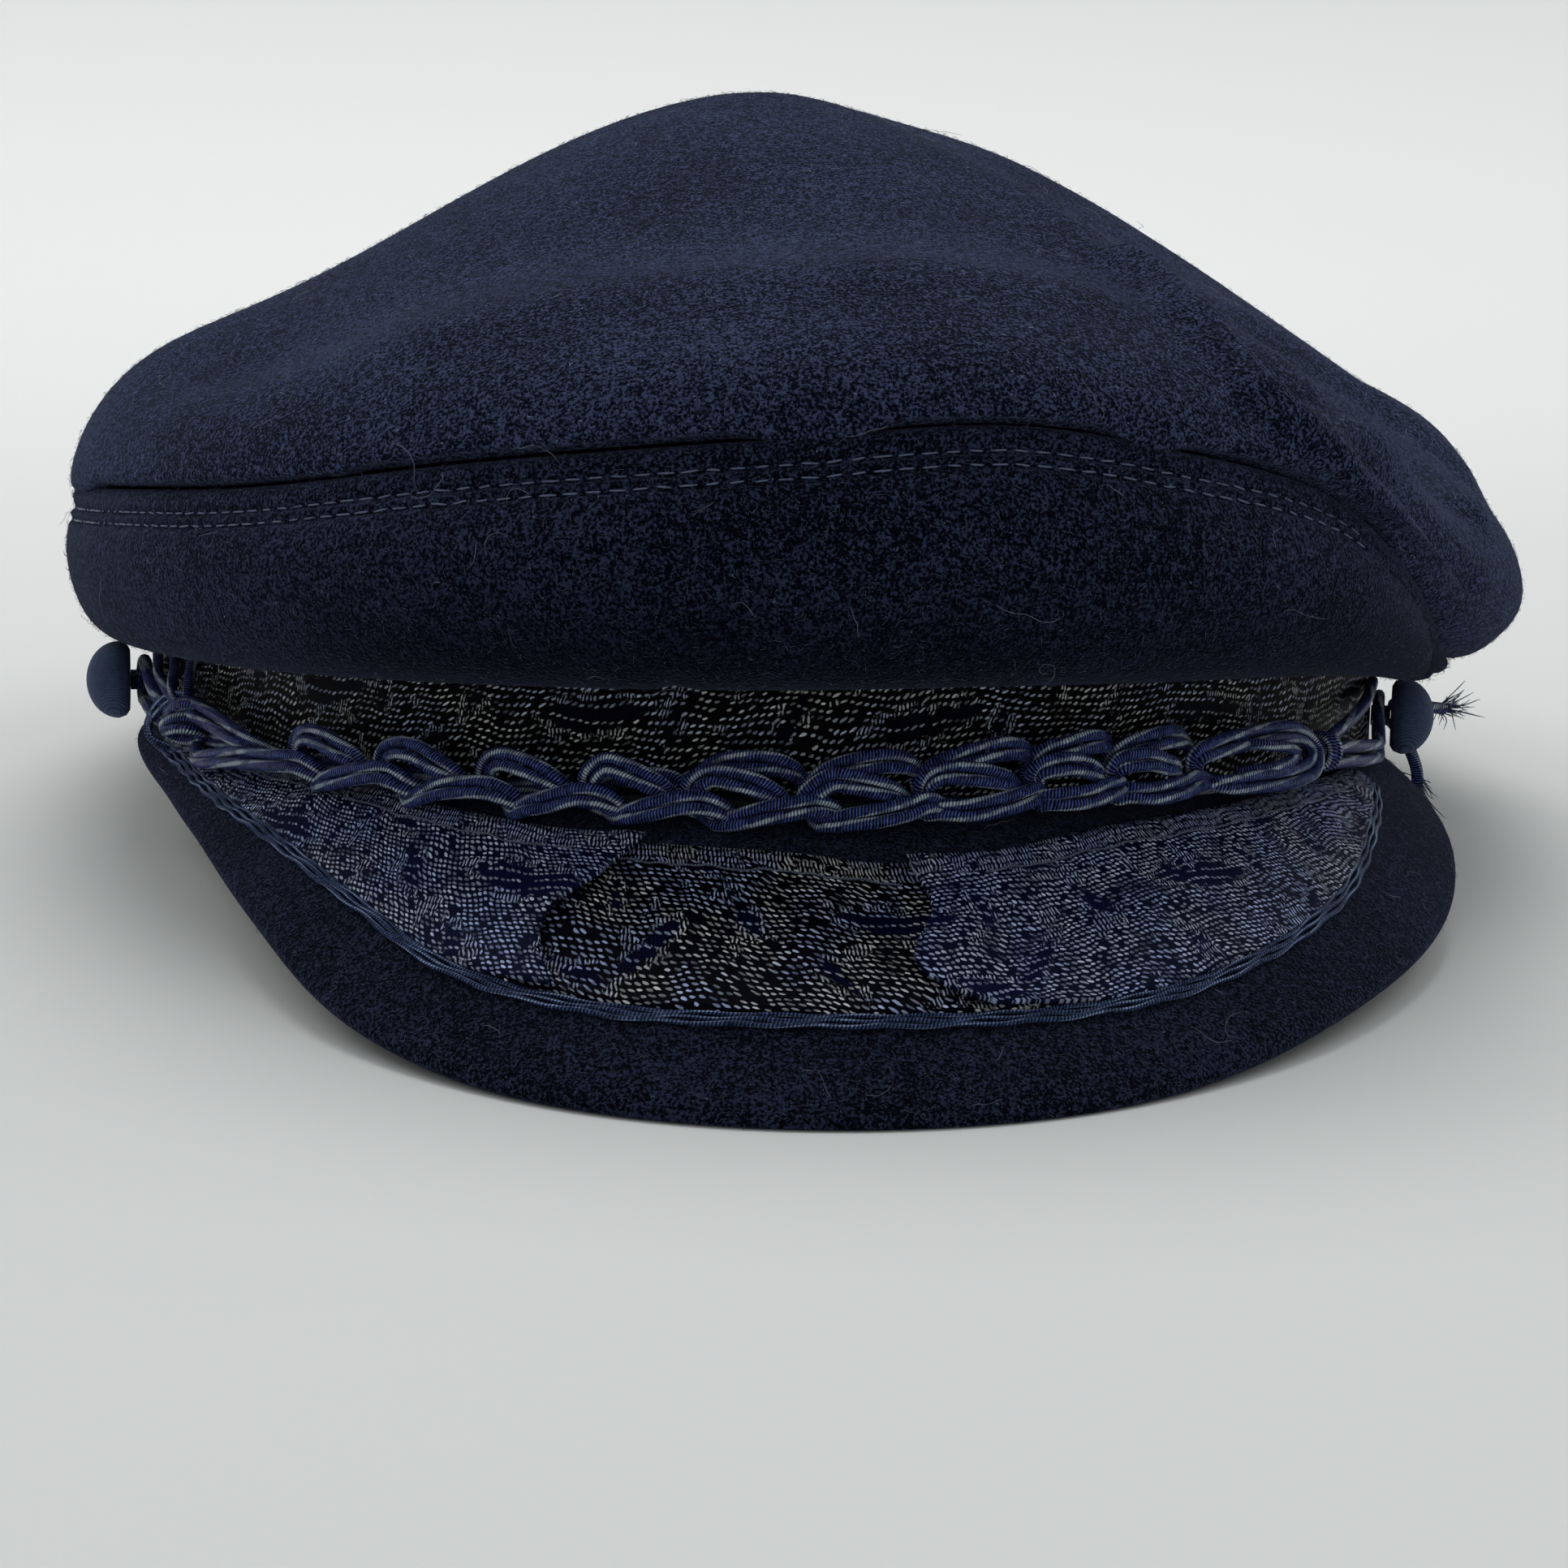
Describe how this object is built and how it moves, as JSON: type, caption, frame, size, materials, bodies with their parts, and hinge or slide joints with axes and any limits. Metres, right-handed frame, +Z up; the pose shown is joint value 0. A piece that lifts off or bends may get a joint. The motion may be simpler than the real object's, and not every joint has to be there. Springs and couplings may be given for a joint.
{
  "type": "greek fisherman cap",
  "caption": "Soft peaked cap of wool cloth with a ribboned headband, a short curved visor, a cord chain braid over the visor and a covered button at each temple.",
  "frame": {"origin": "on the surface that the cap rests on, under the middle of its bounding box", "axes": "+Z up, -Y the way the visor points, +X towards the wearer's left as seen from the back, so to the right in a front view"},
  "size_m": [0.2208, 0.2692, 0.1071],
  "materials": {
    "wool": "fuzzy dark navy wool melton",
    "jacquard": "black ribbon with a woven blue-grey foliage pattern, slight sheen",
    "satin_cord": "glossy twisted satin cord, dark blue",
    "twill": "fine navy twill"
  },
  "bodies": {
    "root": {"crown_tip": "wool", "crown_side_right": "wool", "crown_side_left": "wool", "headband": "wool", "band_ribbon": "jacquard", "visor": "wool", "visor_ribbon": "jacquard", "visor_piping": "satin_cord", "braid": "satin_cord", "button_left": "twill", "button_shank_left": "satin_cord", "button_right": "twill", "button_shank_right": "satin_cord", "braid_tie_left": "satin_cord", "braid_tie_right": "satin_cord", "cord_end_upper": "satin_cord", "cord_end_lower": "satin_cord"}
  },
  "joints": []
}
